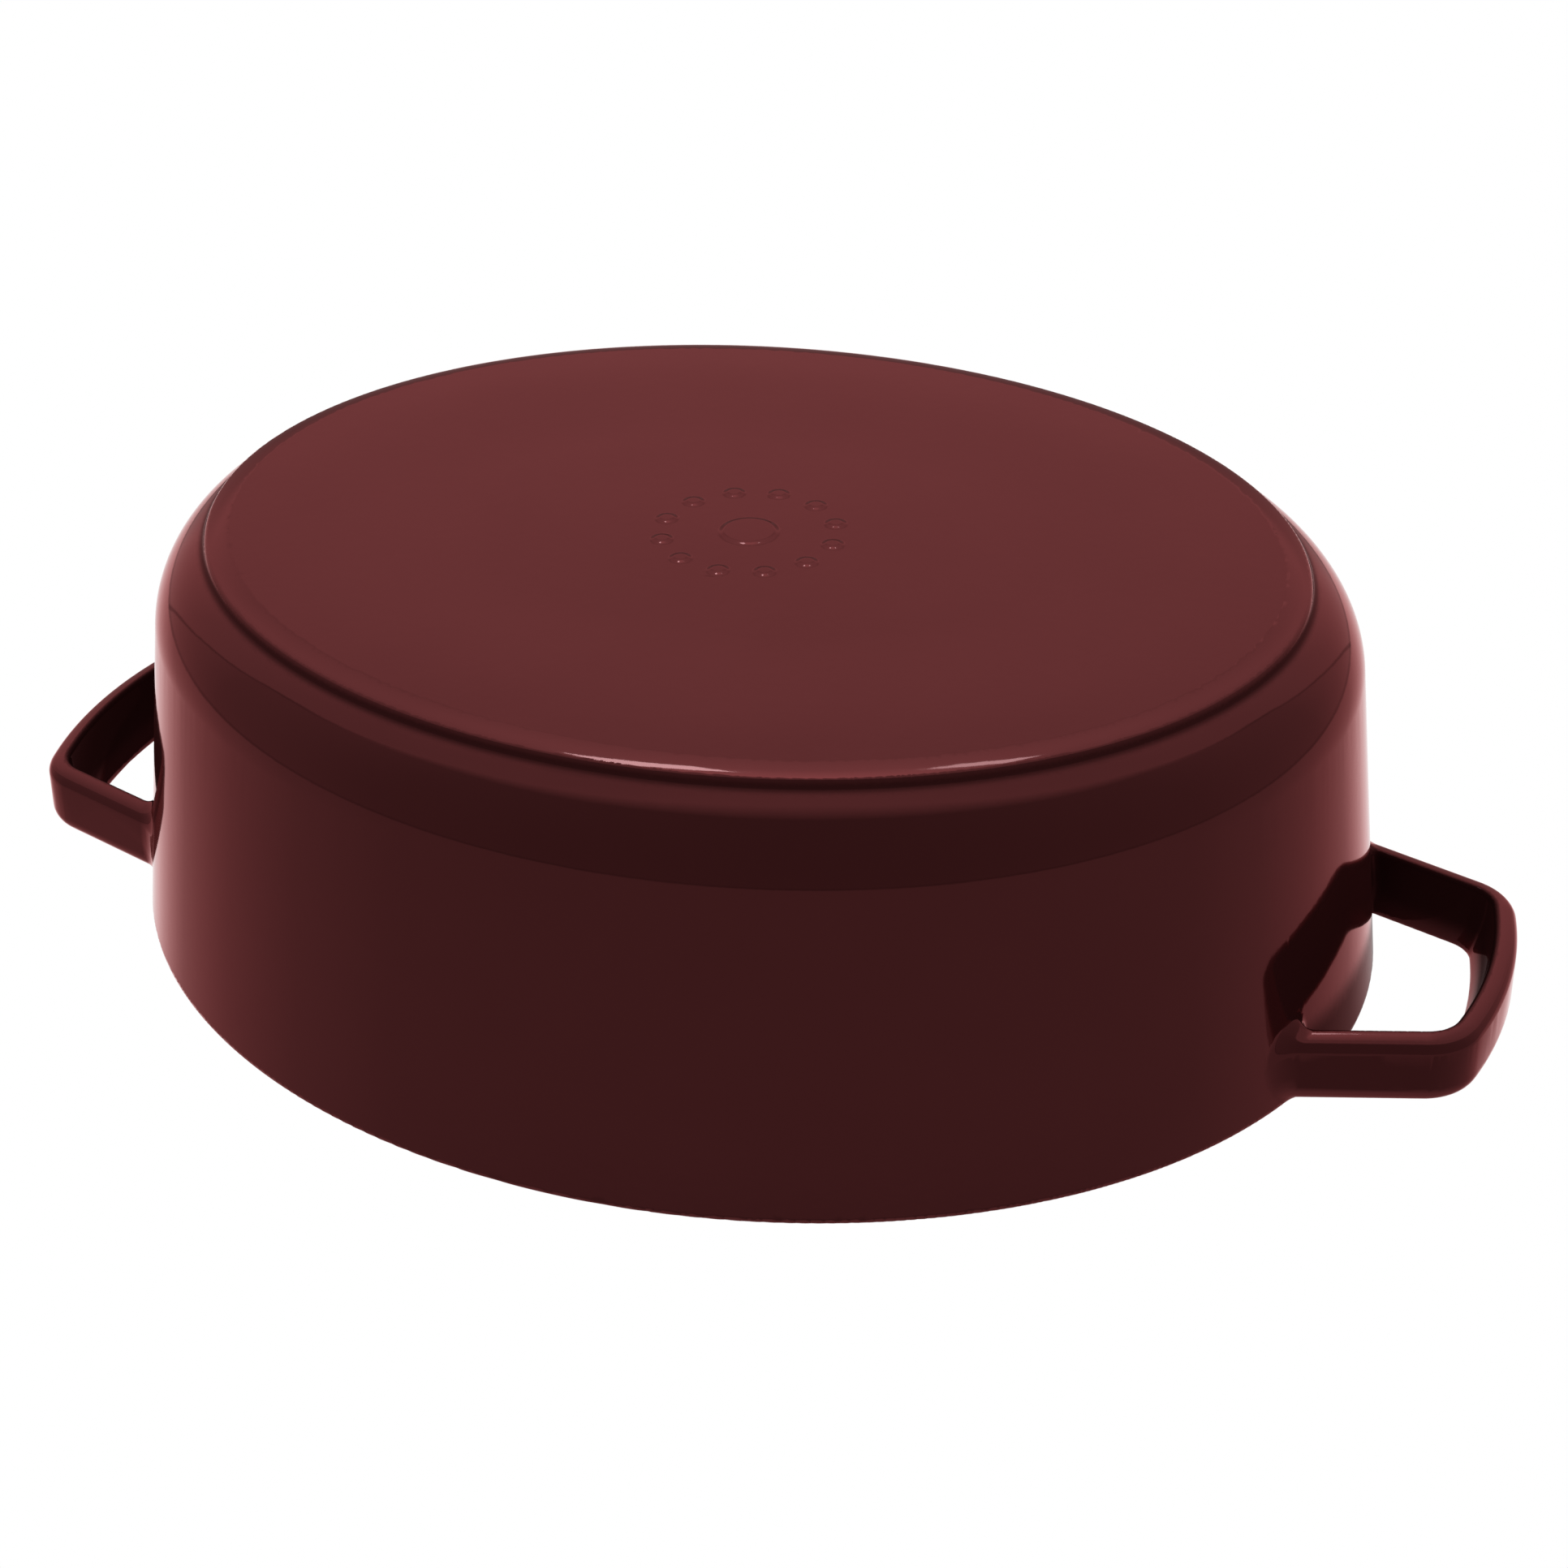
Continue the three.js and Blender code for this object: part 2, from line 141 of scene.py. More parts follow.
# Sizes that follow
LOOP_CORNER_X = RIM_HALF_LENGTH + LOOP_REACH - BOW - CORNER_RADIUS
ARM_TURN = math.atan2(ROOT_SPREAD - CORNER_SPREAD, LOOP_CORNER_X - RIM_HALF_LENGTH + ROOT_DEPTH)
LID_HALF_LENGTH = RIM_HALF_LENGTH - LID_INSET
LID_HALF_WIDTH = RIM_HALF_WIDTH - LID_INSET
LID_BAND_TOP = LID_BOTTOM + LID_EDGE_HEIGHT
LID_UNDER_RISE = LID_RISE + LID_EDGE_HEIGHT - LID_THICKNESS
LID_TOP = LID_BAND_TOP + LID_RISE + LID_CROWN
BOSS_TOP = LID_TOP + BOSS_HEIGHT
PAD_BOTTOM = LID_TOP - LID_THICKNESS - PAD_HEIGHT
KNOB_Z = BOSS_TOP + STACK_GAP
WASHER_Z = PAD_BOTTOM - STACK_GAP - WASHER_THICKNESS
SCREW_SEAT = WASHER_Z - STACK_GAP

# Painted shade, darkening colour and mirroring where little light gets in: how deep it is, where it sets in
# and ends
CREASE_SHADE = 0.65
CREASE_START = (FOOT_INSET - 2 * FOOT_FILLET, FOOT_INSET - FOOT_FILLET / 2)
CREASE_END = (FOOT_INSET - FOOT_EDGE / 4, FOOT_INSET + FOOT_EDGE / 4)
CREASE_TOP = (FOOT_EDGE * 6, FOOT_EDGE * 10)
GAP_EDGE = (LOOP_INNER_EDGE / 4, LOOP_INNER_EDGE)
# less painted shade towards the top of a finger gap, where more light is mirrored
LOOP_TOP_LIGHT = 0.75  # how much lighter a finger gap is at its top than below
LOOP_LIGHT_RISE = (0.6, 0.95)
WALL_SHADE = 0.65  # how shaded the wall is between a handle's arms
WALL_SHADE_RISE = (0, 0.4)

# Steps that keep the fields steady
BROW_LIMIT = 0.9
INSET_ROUNDS = 5
INSET_LIMIT = 0.92 * RIM_HALF_WIDTH
MIN_STEEPNESS = 1e-6


# Shapes as fields: a field is negative inside the metal, nought on its surface
def meet(a, b, radius):
    """What lies in both, with the edge between them rounded."""
    corner = np.hypot(np.maximum(a + radius, 0), np.maximum(b + radius, 0))
    return np.minimum(np.maximum(a, b), -radius) + corner


def join(a, b, radius):
    """What lies in either, with a fillet between them."""
    return -meet(-a, -b, radius)


def ease(start, end, value):
    t = np.clip((value - start) / (end - start), 0, 1)
    return t * t * (3 - 2 * t)


def brow_fall(inset, width, radius):
    """How far a face has fallen away at a distance in from its edge."""
    left = np.clip(width - inset, 0, BROW_LIMIT * radius)
    return radius - np.sqrt(radius**2 - left**2)


def rim_inset(x, y):
    """How far in from the rim's oval each point lies, in plan."""
    inset = RIM_HALF_WIDTH * (1 - np.hypot(x / RIM_HALF_LENGTH, y / RIM_HALF_WIDTH))
    for _ in range(INSET_ROUNDS):
        long, wide = RIM_HALF_LENGTH - inset, RIM_HALF_WIDTH - inset
        excess = (x / long) ** 2 + (y / wide) ** 2 - 1
        steepness = 2 * x**2 / long**3 + 2 * y**2 / wide**3
        inset = np.minimum(inset - excess / np.maximum(steepness, MIN_STEEPNESS), INSET_LIMIT)
    return inset


def corner_reach(radius, tilt):
    """How far a round of this radius reaches along a wall that leans out by tilt, from a level floor."""
    return radius * math.tan(math.pi / 4 - tilt / 2) * math.cos(tilt)


def loop_plan(x, y, pull_back):
    """Distance in plan from the core of a handle: two arms that draw in, and a bowed bar."""
    corner_x = LOOP_CORNER_X - pull_back
    corner_y = CORNER_SPREAD + pull_back * math.tan(ARM_TURN)
    bow_radius = (corner_y**2 + BOW**2) / (2 * BOW)
    bow_x = corner_x + BOW - bow_radius
    dx, dy = x - corner_x, y - corner_y
    arm = dx * math.sin(ARM_TURN) + dy * math.cos(ARM_TURN)
    along = dx * math.cos(ARM_TURN) - dy * math.sin(ARM_TURN)
    bar = np.hypot(x - bow_x, y) - bow_radius
    past_corner = (along > 0) & (y * (corner_x - bow_x) > corner_y * (x - bow_x))
    return np.where(past_corner, np.hypot(dx, dy), np.maximum(arm, bar))


def loop_rise(z):
    """How far up a handle each point lies, from its underside at 0 to its top at 1."""
    return np.clip((z - LOOP_TOP) / LOOP_HEIGHT + 1, 0, 1)


def finger_gap(x, y, z):
    """The opening of a handle, which draws in towards its top."""
    flare = loop_rise(z) ** 2
    return loop_plan(x, y, BAR_LIP * flare) - CORNER_RADIUS + LOOP_WALL + LOOP_DRAFT * flare


def handle_field(x, y, z):
    x, y = np.abs(x), np.abs(y)
    outside = loop_plan(x, y, 0) - CORNER_RADIUS
    under = LOOP_TOP - LOOP_HEIGHT + brow_fall(-outside, LOOP_BROW, LOOP_BROW_RADIUS)
    bar = meet(meet(outside, under - z, LOOP_UNDER_EDGE), z - LOOP_TOP, LOOP_TOP_EDGE)
    return meet(bar, -finger_gap(x, y, z), LOOP_INNER_EDGE)


def root_fillet(z):
    """The fillet between a handle and the wall, which shrinks towards the rim."""
    return ROOT_FILLET + (ROOT_TOP_FILLET - ROOT_FILLET) * ease(LOOP_TOP - ROOT_FADE, LOOP_TOP, z)


def mark_height(x, y):
    """A ring of pips round a plain disc, raised from the recess under the pot."""
    sector = 2 * math.pi / MARK_PIPS
    turn = np.arctan2(y, x)
    turn = turn - sector * np.round(turn / sector)
    ring = np.hypot(x, y)
    pips = np.hypot(ring * np.cos(turn) - MARK_RADIUS, ring * np.sin(turn)) - PIP_RADIUS
    return MARK_RELIEF * ease(MARK_SOFT, -MARK_SOFT, np.minimum(pips, ring - MARK_DISC_RADIUS))


def hollow_field(x, y, z):
    """The inside of the pot, with the step that the lid rests on."""
    inset = rim_inset(x, y)
    wall = LIP_WIDTH + LEDGE_WIDTH + math.tan(INNER_TILT) * (LEDGE_Z - z) - inset
    bowl = meet(wall * math.cos(INNER_TILT), FLOOR_Z - z, corner_reach(FLOOR_RADIUS, INNER_TILT))
    step = meet(LIP_WIDTH - inset, LEDGE_Z - z, LEDGE_EDGE)
    return join(bowl, step, LEDGE_EDGE)


def pot_field(x, y, z):
    inset = rim_inset(x, y)
    wall = (math.tan(WALL_TILT) * (POT_HEIGHT - z) - inset) * math.cos(WALL_TILT)
    body = meet(wall, -z, corner_reach(SHOULDER_RADIUS, WALL_TILT))
    fall = brow_fall(inset - FOOT_INSET, FOOT_BROW, FOOT_BROW_RADIUS)
    foot = np.maximum(meet(FOOT_INSET - inset, fall - z, FOOT_EDGE), z - SHOULDER_RADIUS)
    land = FOOT_INSET + FOOT_LAND
    recess = FOOT_RECESS * ease(land, land + FOOT_DISH, inset)
    outside = np.maximum(join(body, foot, FOOT_FILLET), recess - mark_height(x, y) - z)
    outside = join(outside, handle_field(x, y, z), root_fillet(z))
    outside = meet(outside, z - POT_HEIGHT, RIM_EDGE)
    return meet(outside, -hollow_field(x, y, z), RIM_EDGE / 2)


def pot_painted_shade(x, y, z):
    """Painted shade in the crease round the foot, inside the handles and on the wall behind them."""
    inset = rim_inset(x, y)
    # painted shade along the crease round the foot
    crease = CREASE_SHADE * ease(*CREASE_START, inset)
    crease *= 1 - ease(*CREASE_END, inset)
    crease *= 1 - ease(*CREASE_TOP, z)
    away = math.tan(WALL_TILT) * (POT_HEIGHT - z) - inset
    # painted shade inside the finger gaps and on the wall between a handle's arms
    inside = 1 - ease(*GAP_EDGE, finger_gap(np.abs(x), np.abs(y), z))
    rise = loop_rise(z)
    loop_level = 1 - LOOP_TOP_LIGHT * ease(*LOOP_LIGHT_RISE, rise)
    wall_level = WALL_SHADE * ease(*WALL_SHADE_RISE, rise)
    on_loop = ease(0, ROOT_FILLET, away)
    inside *= wall_level + on_loop * (loop_level - wall_level)
    inside *= np.abs(x) > RIM_HALF_LENGTH - ROOT_DEPTH - LOOP_BROW
    return np.maximum(crease, inside)


def lid_panel(distance, rise):
    """How far the lid has risen at a distance in from its edge."""
    slope = ease(LID_BAND, LID_BAND + LID_SLOPE, distance)
    left = np.clip((LID_HALF_WIDTH - distance) / (LID_HALF_WIDTH - LID_BAND - LID_SLOPE), 0, 1)
    return rise * slope + LID_CROWN * (1 - left**2)


def bump_places():
    """Middles of the basting bumps, evenly spaced along each oval row."""
    turn = np.linspace(0, 2 * math.pi, ROW_STEPS + 1)
    places = []
    for share, count in BUMP_ROWS:
        distance = LID_HALF_WIDTH * (1 - share)
        x = (LID_HALF_LENGTH - distance) * np.cos(turn)
        y = (LID_HALF_WIDTH - distance) * np.sin(turn)
        run = np.concatenate([[0], np.cumsum(np.hypot(np.diff(x), np.diff(y)))])
        at = run[-1] * (np.arange(count) + 0.5) / count
        base = LID_BOTTOM + float(lid_panel(np.array(distance), LID_UNDER_RISE))
        places += [(px, py, base) for px, py in zip(np.interp(at, run, x), np.interp(at, run, y))]
    return places


BUMPS = bump_places()


def lid_under(x, y, z):
    """How far below the lid's underside each point lies."""
    distance = rim_inset(x, y) - LID_INSET
    under = LID_BOTTOM + lid_panel(distance, LID_UNDER_RISE) - z
    near = np.full_like(x, np.inf)
    tip = np.zeros_like(x)
    for px, py, base in BUMPS:
        away = np.hypot(x - px, y - py)
        closer = away < near
        near = np.where(closer, away, near)
        tip = np.where(closer, base - BUMP_HEIGHT, tip)
    height = np.clip((z - tip) / BUMP_HEIGHT, 0, BUMP_OVERRUN)
    side = near - BUMP_TIP_RADIUS - (BUMP_BASE_RADIUS - BUMP_TIP_RADIUS) * height
    bumps = meet(side * BUMP_LEAN, tip - z, BUMP_TIP_RADIUS)
    pad = meet(np.hypot(x, y) - PAD_RADIUS, PAD_BOTTOM - z, PAD_HEIGHT / 2)
    return join(join(under, bumps, BUMP_TIP_RADIUS), pad, PAD_HEIGHT / 2)


def lid_field(x, y, z):
    distance = rim_inset(x, y) - LID_INSET
    radius = np.hypot(x, y)
    top = z - LID_BAND_TOP - lid_panel(distance, LID_RISE)
    boss = meet(radius - BOSS_RADIUS, z - BOSS_TOP, BOSS_HEIGHT / 2)
    top = join(top, boss, BOSS_HEIGHT)
    plate = meet(meet(top, -distance, LID_EDGE), lid_under(x, y, z), LID_EDGE / 3)
    return meet(plate, BORE_RADIUS - radius, STACK_GAP)


# Meshes
def add_object(name, mesh):
    obj = bpy.data.objects.new(name, mesh)
    bpy.context.scene.collection.objects.link(obj)
    return obj


def apply_modifiers(obj):
    graph = bpy.context.evaluated_depsgraph_get()
    mesh = bpy.data.meshes.new_from_object(obj.evaluated_get(graph), depsgraph=graph)
    obj.modifiers.clear()
    obj.data = mesh


def points_of(mesh):
    points = np.empty(3 * len(mesh.vertices))
    mesh.vertices.foreach_get("co", points)
    return points.reshape(-1, 3)


CORNERS = np.array([[1, -1, -1], [-1, 1, -1], [-1, -1, 1], [1, 1, 1]])
PROBE = 2e-5
MIN_SLOPE = 0.3
MAX_STEP = 0.002
FIRST_ROUNDS = 4  # of drawing the voxels onto the surface
LAST_ROUNDS = 3  # and of drawing the thinned mesh onto it
VOXEL = 0.0012
POT_FACES = 72000
LID_FACES = 90000
REFINE_ROUNDS = 4
SHARP_ANGLE = math.radians(40)

# Where the pot's mesh is finer, and the longest edge there
MARK_LENGTH = 0.0008
DISC_EDGE_ZONE = 2 * MARK_SOFT
MARK_ZONE_TOP = 2 * FOOT_RECESS
EDGE_LENGTH = 0.0012
FOOT_EDGE_ZONE = 2 * FOOT_EDGE
FOOT_EDGE_TOP = 8 * FOOT_EDGE
LOOP_EDGE_ZONE = LOOP_BROW / 2
BAND_LENGTH = 0.0025
RIM_BAND = 0.003
BROW_ZONE = 1.2 * FOOT_BROW
BROW_ZONE_TOP = FLOOR_Z / 2
GAP_LENGTH = 0.004


def slope_of(field, points):
    """A field's value and slope, from four probes round each point."""
    values = [field(*(points + PROBE * corner).T) for corner in CORNERS]
    slope = sum(v[:, None] * c for v, c in zip(values, CORNERS)) / (4 * PROBE)
    return sum(values) / 4, slope


def draw_onto(mesh, field, rounds):
    """Moves a mesh's vertices onto the surface where the field is nought."""
    points = points_of(mesh)
    for _ in range(rounds):
        value, slope = slope_of(field, points)
        step = np.clip(value / np.maximum((slope**2).sum(1), MIN_SLOPE), -MAX_STEP, MAX_STEP)
        points -= step[:, None] * slope
    mesh.vertices.foreach_set("co", points.ravel())


def refine(mesh, limit):
    """Splits a triangle mesh's edges until hardly any is longer than the limit where it lies."""
    points = points_of(mesh)
    faces = np.empty(3 * len(mesh.polygons), int)
    mesh.loops.foreach_get("vertex_index", faces)
    faces = faces.reshape(-1, 3)
    for _ in range(REFINE_ROUNDS):
        ends = np.sort(np.stack([faces, np.roll(faces, -1, axis=1)], axis=2), axis=2)
        length = np.linalg.norm(points[ends[..., 0]] - points[ends[..., 1]], axis=2)
        split = length > limit(*points.T)[ends].min(axis=2)
        pairs, place = np.unique(ends[split], axis=0, return_inverse=True)
        middle = np.zeros(split.shape, int)
        middle[split] = len(points) + place.ravel()
        points = np.concatenate([points, points[pairs].mean(axis=1)])
        count = split.sum(axis=1)
        first = np.where(count == 2, split.argmin(axis=1) + 1, split.argmax(axis=1))
        order = (first[:, None] + np.arange(3)) % 3
        a, b, c = np.take_along_axis(faces, order, axis=1).T
        ab, bc, ca = np.take_along_axis(middle, order, axis=1).T
        parts = (
            ((a, b, c),),
            ((a, ab, c), (ab, b, c)),
            ((ab, b, bc), (a, ab, bc), (a, bc, c)),
            ((a, ab, ca), (ab, b, bc), (ca, bc, c), (ab, bc, ca)),
        )
        faces = np.concatenate([np.stack(t, axis=1)[count == k] for k in range(4) for t in parts[k]])
    mesh.clear_geometry()
    mesh.from_pydata(points.tolist(), [], faces.tolist())


def pot_limit(x, y, z):
    """The longest edge for each place, shorter where small forms lie."""
    ring = np.hypot(x, y)
    past_foot = rim_inset(x, y) - FOOT_INSET
    outside = loop_plan(np.abs(x), np.abs(y), 0) - CORNER_RADIUS
    from_under = np.abs(z - LOOP_TOP + LOOP_HEIGHT)
    at_handle = np.abs(x) > RIM_HALF_LENGTH - ROOT_DEPTH
    pips = np.abs(ring - MARK_RADIUS) < PIP_RADIUS + MARK_SOFT
    disc = np.abs(ring - MARK_DISC_RADIUS) < DISC_EDGE_ZONE
    mark = (pips | disc) & (z < MARK_ZONE_TOP)
    foot_edge = (np.abs(past_foot) < FOOT_EDGE_ZONE) & (z < FOOT_EDGE_TOP)
    loop_edge = (outside > -LOOP_BROW) & (from_under < LOOP_EDGE_ZONE) & at_handle
    rim = z > POT_HEIGHT - RIM_BAND
    brow = (past_foot > 0) & (past_foot < BROW_ZONE) & (z < BROW_ZONE_TOP)
    gap = (finger_gap(np.abs(x), np.abs(y), z) < LOOP_INNER_EDGE) & (hollow_field(x, y, z) > LIP_WIDTH)
    gap &= at_handle & (z > LOOP_TOP - LOOP_HEIGHT)
    zones = [mark, foot_edge | loop_edge, rim | brow, gap]
    return np.select(zones, [MARK_LENGTH, EDGE_LENGTH, BAND_LENGTH, GAP_LENGTH], np.inf)


def cast_piece(name, node, field, cover, shade, limit, faces):
    """A smooth casting in place of a CAD node.

    cover is how far a point lies from the black-enamelled side, shade is the painted shade there, limit
    is the longest edge for each place, and faces is how many the mesh is thinned to.
    """
    piece = add_object(name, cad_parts[node].data.copy())
    remesh = piece.modifiers.new("voxels", "REMESH")
    remesh.mode = "VOXEL"
    remesh.voxel_size = VOXEL
    apply_modifiers(piece)
    draw_onto(piece.data, field, FIRST_ROUNDS)
    thin = piece.modifiers.new("thin", "DECIMATE")
    thin.ratio = faces / (2 * len(piece.data.polygons))
    thin.use_collapse_triangulate = True
    apply_modifiers(piece)
    if limit:
        refine(piece.data, limit)
    draw_onto(piece.data, field, LAST_ROUNDS)
    points = points_of(piece.data)
    slope = slope_of(field, points)[1]
    normals = slope / np.linalg.norm(slope, axis=1)[:, None]
    piece.data.shade_smooth()
    piece.data.normals_split_custom_set_from_vertices(normals)
    # the shade attribute carries painted shade into the enamel
    for key, level in (("cover", cover), ("shade", shade)):
        attribute = piece.data.attributes.new(key, "FLOAT", "POINT")
        attribute.data.foreach_set("value", level(*points.T).astype(np.float32))
    return piece


TURN_STEPS = 96
SCREW_STEPS = 48
CURVE_STEPS = 32
CROWN_STEPS = 16
HEAD_STEPS = 10
EDGE_STEPS = 6
WASHER_EDGE_STEPS = 4
ON_AXIS = 1e-9


def arc(x, z, radius, start, end, steps):
    """Points of an arc in a turned profile; angles in degrees, from outwards, up."""
    angles = np.radians(np.linspace(start, end, steps + 1))
    return [(x + radius * math.cos(a), z + radius * math.sin(a)) for a in angles]


def bezier(a, b, c, d, steps):
    points = []
    for t in np.linspace(0, 1, steps + 1):
        weights = ((1 - t) ** 3, 3 * t * (1 - t) ** 2, 3 * t**2 * (1 - t), t**3)
        points.append(tuple(sum(w * p[i] for w, p in zip(weights, (a, b, c, d))) for i in (0, 1)))
    return points


def turned_piece(name, profile, base, steps=TURN_STEPS):
    """A turned piece from its profile of (radius, height) points; one that starts off the axis is a ring."""
    ends = [p[0] < ON_AXIS for p in (profile[0], profile[-1])]
    rows = [p for p in profile if p[0] >= ON_AXIS]
    verts = []
    for radius, z in rows:
        for k in range(steps):
            turn = 2 * math.pi * k / steps
            verts.append((radius * math.cos(turn), radius * math.sin(turn), base + z))
    faces = []
    last = len(rows) - 1
    for i in range(last + (not any(ends))):
        a, b = i * steps, ((i + 1) % len(rows)) * steps
        faces += [(a + k, a + (k + 1) % steps, b + (k + 1) % steps, b + k) for k in range(steps)]
    for at_end, row, tip in ((ends[0], 0, profile[0]), (ends[1], last * steps, profile[-1])):
        if at_end:
            verts.append((0, 0, base + tip[1]))
            middle = len(verts) - 1
            fan = [(middle, row + (k + 1) % steps, row + k) for k in range(steps)]
            faces += fan if row == 0 else [tuple(reversed(f)) for f in fan]
    mesh = bpy.data.meshes.new(name)
    mesh.from_pydata(verts, [], faces)
    mesh.shade_smooth()
    mesh.set_sharp_from_angle(angle=SHARP_ANGLE)
    return add_object(name, mesh)


def cut_slot(piece, z, width, depth):
    """A slot across the underside of a head, which is at z."""
    box = bmesh.new()
    size = Matrix.Diagonal((SLOT_LENGTH, width, 2 * depth, 1))
    bmesh.ops.create_cube(box, matrix=Matrix.Translation((0, 0, z)) @ size)
    mesh = bpy.data.meshes.new("slot")
    box.to_mesh(mesh)
    box.free()
    cutter = add_object("slot", mesh)
    cut = piece.modifiers.new("slot", "BOOLEAN")
    cut.object = cutter
    cut.solver = "MANIFOLD"
    apply_modifiers(piece)
    bpy.data.objects.remove(cutter)
    piece.data.set_sharp_from_angle(angle=SHARP_ANGLE)


def edge_rounds(radius, height, edge, steps):
    """The two outer edges of a disc, rounded."""
    lower = arc(radius - edge, edge, edge, -90, 0, steps)
    upper = arc(radius - edge, height - edge, edge, 0, 90, steps)
    return lower + upper


def knob_profile():
    bore = SCREW_GRIP + BORE_END_GAP
    neck_top = KNOB_HEIGHT - KNOB_CROWN - KNOB_HEAD_HEIGHT
    rim = KNOB_HEAD_HEIGHT / 2
    inner = KNOB_HEAD_RADIUS - rim
    neck = bezier(
        (KNOB_BASE_RADIUS - KNOB_EDGE, KNOB_BASE_HEIGHT), (KNOB_NECK_RADIUS, KNOB_BASE_HEIGHT),
        (KNOB_NECK_RADIUS, neck_top), (inner, neck_top), CURVE_STEPS)
    crown_middle = (inner / 2, KNOB_HEIGHT)
    crown = bezier(
        (inner, KNOB_HEIGHT - KNOB_CROWN), crown_middle, crown_middle, (0, KNOB_HEIGHT), CROWN_STEPS)
    return [
        (0, bore), (BORE_RADIUS, bore), (BORE_RADIUS, 0),
        *edge_rounds(KNOB_BASE_RADIUS, KNOB_BASE_HEIGHT, KNOB_EDGE, EDGE_STEPS),
        *neck[1:],
        *arc(inner, neck_top + rim, rim, -90, 90, CURVE_STEPS)[1:],
        *crown[1:],
    ]


def screw_profile():
    end = KNOB_Z + SCREW_GRIP - SCREW_SEAT
    round_head = SCREW_HEAD_HEIGHT / 2
    return [
        (0, -SCREW_HEAD_HEIGHT),
        *arc(SCREW_HEAD_RADIUS - round_head, -round_head, round_head, -90, 0, HEAD_STEPS),
        (SCREW_HEAD_RADIUS, 0), (SCREW_RADIUS, 0), (SCREW_RADIUS, end), (0, end),
    ]


def washer_profile():
    return [
        (BORE_RADIUS, 0),
        *edge_rounds(WASHER_RADIUS, WASHER_THICKNESS, WASHER_EDGE, WASHER_EDGE_STEPS),
        (BORE_RADIUS, WASHER_THICKNESS),
    ]


def lid_cover(x, y, z):
    return -lid_under(x, y, z)


def lid_shade(x, y, z):
    return np.zeros_like(x)


pot = cast_piece("pot_casting", "pot", pot_field, hollow_field, pot_painted_shade, pot_limit, POT_FACES)
lid = cast_piece("lid_casting", "lid", lid_field, lid_cover, lid_shade, None, LID_FACES)
knob = turned_piece("turned_knob", knob_profile(), KNOB_Z)
screw = turned_piece("slotted_screw", screw_profile(), SCREW_SEAT, SCREW_STEPS)
washer = turned_piece("flat_washer", washer_profile(), WASHER_Z)
cut_slot(screw, SCREW_SEAT - SCREW_HEAD_HEIGHT, SLOT_WIDTH, SLOT_DEPTH)


# Materials
def new_material(name):
    material = bpy.data.materials.new(name)
    material.use_nodes = True
    tree = material.node_tree
    return material, tree, tree.nodes["Principled BSDF"]


def add_node(tree, kind, inputs=(), **settings):
    node = tree.nodes.new(kind)
    for key, value in settings.items():
        setattr(node, key, value)
    for key, value in dict(inputs).items():
        if isinstance(value, bpy.types.NodeSocket):
            tree.links.new(value, node.inputs[key])
        else:
            node.inputs[key].default_value = value
    return node


def noise(tree, scale, detail):
    place = add_node(tree, "ShaderNodeTexCoord").outputs["Object"]
    node = add_node(tree, "ShaderNodeTexNoise", {"Vector": place, "Scale": scale, "Detail": detail})
    return node.outputs["Fac"]


def calc(tree, operation, a, b=0.0):
    return add_node(tree, "ShaderNodeMath", {0: a, 1: b}, operation=operation).outputs["Value"]


def span(tree, value, start, end, low, high):
    node = add_node(tree, "ShaderNodeMapRange",
                    {"Value": value, "From Min": start, "From Max": end, "To Min": low, "To Max": high})
    return node.outputs["Result"]


def blend(tree, factor, a, b):
    return add_node(tree, "ShaderNodeMix", {"Factor": factor, "A": a, "B": b}).outputs["Result"]


def mix_colour(tree, factor, a, b):
    node = add_node(tree, "ShaderNodeMix", data_type="RGBA")
    for key, value in (("Factor_Float", factor), ("A_Color", a), ("B_Color", b)):
        socket = next(s for s in node.inputs if s.identifier == key)
        if isinstance(value, bpy.types.NodeSocket):
            tree.links.new(value, socket)
        else:
            socket.default_value = value
    return next(s for s in node.outputs if s.identifier == "Result_Color")


# The red glaze is clear over a dark ground coat: most of the light that it gives back is mirrored from
# under it, tinted red, and paler at a glance
RED = (0.160, 0.0370, 0.0384, 1)
DEEP_RED = (0.145, 0.0333, 0.0347, 1)
# painted shade: the red darkens towards this where the shade attribute is high
PAINTED_SHADE_RED = (0.045, 0.0108, 0.0111, 1)
GLANCE_TINT = (1, 0.64, 0.64, 1)
# in the painted shade the mirroring is dimmed as well, a painted darker reflection
MIRRORED = 0.7  # share that is mirrored, and what is left of it in the shade
MIRRORED_IN_SHADE = 0.04
BLACK = (0.034, 0.0325, 0.032, 1)
GREY_BLACK = (0.050, 0.048, 0.047, 1)
COVER_BLUR = 0.0002
GLOSS = (0.045, 0.07)
MATT = 0.55
PEEL_HEIGHT = 0.0001
PEEL_STRENGTH = 0.1
GRAIN_HEIGHT = 0.0001
GRAIN_STRENGTH = 0.35
# Patterns: scale and detail
RED_CLOUDS = (22, 3)
BLACK_SPECKS = (900, 4)
GLOSS_CLOUDS = (60, 4)
PEEL = (260, 2)
GRAIN = (2400, 3)
METAL_CLOUDS = (300, 3)
METAL_SMEARS = (500, 4)
NOISE_SPAN = (0.3, 0.7)  # the middle of a pattern's range, which is spread over the whole
METAL_DARKER = 0.9
METAL_SMEAR = 0.04
LATHE_RINGS = {"Scale": 900, "Distortion": 1.5, "Detail": 2}
LATHE_HEIGHT = 0.00005


